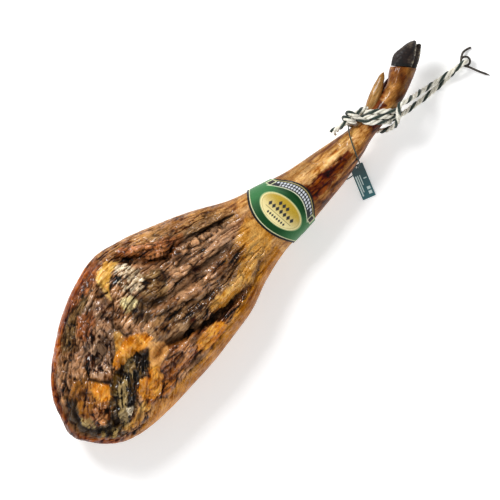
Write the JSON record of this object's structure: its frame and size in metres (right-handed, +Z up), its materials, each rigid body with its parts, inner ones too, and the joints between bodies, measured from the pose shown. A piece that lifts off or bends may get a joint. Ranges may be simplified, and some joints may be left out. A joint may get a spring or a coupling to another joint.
{
  "type": "cured ham",
  "caption": "Whole cured ham on the bone with its hoof, lying meat side up, with a paper band, a hanging rope tied round the ankle, a wire hook and a card tag.",
  "frame": {"origin": "under the middle of the ham's outline, on the surface that it lies on", "axes": "+X from the butt to the hoof, +Y towards the bulging side of the butt, +Z up, out of the meat face"},
  "size_m": [0.893, 0.2894, 0.126],
  "materials": {
    "cured_meat": "satin",
    "hoof": "matte",
    "band_paper": "satin",
    "rope": "matte",
    "wire": "satin",
    "string": "matte",
    "tag_card": "satin"
  },
  "bodies": {
    "root": {"ham": "cured_meat", "hoof_near": "hoof", "hoof_far": "hoof", "label_band": "band_paper", "rope_turns": "rope", "rope_tail": "rope", "rope_lead": "rope", "hook": "wire", "tag_string": "string", "tag": "tag_card"}
  },
  "joints": []
}
